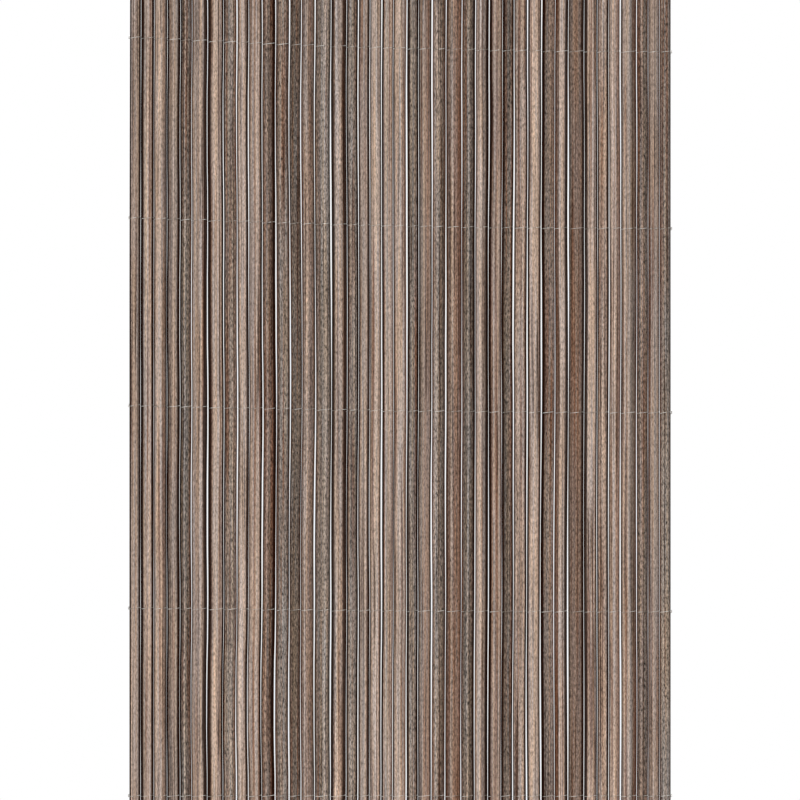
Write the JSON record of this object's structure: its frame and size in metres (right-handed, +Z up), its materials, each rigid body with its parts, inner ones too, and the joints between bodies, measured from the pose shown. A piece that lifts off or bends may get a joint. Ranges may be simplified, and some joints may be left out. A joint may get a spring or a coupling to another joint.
{
  "type": "synthetic reed screening",
  "caption": "Panel of synthetic reed screening: hollow plastic reeds in tan and grey, side by side, bound by rows of twined clear thread, for tying to a fence as a privacy screen.",
  "frame": {"origin": "middle of the panel's footprint, at the reeds' lower ends", "axes": "+X along the fence to the right seen from the front, +Y towards the back, +Z up along the reeds"},
  "size_m": [0.293, 0.0088, 0.5],
  "materials": {
    "tan_reed": "satin, grained",
    "grey_reed": "satin, grained",
    "dark_reed": "satin, grained",
    "streaked_reed": "satin, grained, tan with a grey streak",
    "clear_thread": "clear nylon monofilament"
  },
  "bodies": {
    "root": {"reed_01": "tan_reed", "reed_02": "tan_reed", "reed_03": "tan_reed", "reed_04": "tan_reed", "reed_05": "dark_reed", "reed_06": "tan_reed", "reed_07": "tan_reed", "reed_08": "grey_reed", "reed_09": "tan_reed", "reed_10": "tan_reed", "reed_11": "grey_reed", "reed_12": "grey_reed", "reed_13": "dark_reed", "reed_14": "streaked_reed", "reed_15": "grey_reed", "reed_16": "streaked_reed", "reed_17": "grey_reed", "reed_18": "tan_reed", "reed_19": "tan_reed", "reed_20": "tan_reed", "reed_21": "tan_reed", "reed_22": "grey_reed", "reed_23": "tan_reed", "reed_24": "grey_reed", "reed_25": "streaked_reed", "reed_26": "dark_reed", "reed_27": "tan_reed", "reed_28": "tan_reed", "reed_29": "dark_reed", "reed_30": "streaked_reed", "reed_31": "tan_reed", "reed_32": "grey_reed", "reed_33": "tan_reed", "reed_34": "streaked_reed", "reed_35": "tan_reed", "reed_36": "streaked_reed", "reed_37": "tan_reed", "reed_38": "tan_reed", "reed_39": "dark_reed", "reed_40": "tan_reed", "reed_41": "grey_reed", "binding_1_thread_a": "clear_thread", "binding_1_thread_b": "clear_thread", "binding_2_thread_a": "clear_thread", "binding_2_thread_b": "clear_thread", "binding_3_thread_a": "clear_thread", "binding_3_thread_b": "clear_thread", "binding_4_thread_a": "clear_thread", "binding_4_thread_b": "clear_thread", "binding_5_thread_a": "clear_thread", "binding_5_thread_b": "clear_thread"}
  },
  "joints": []
}
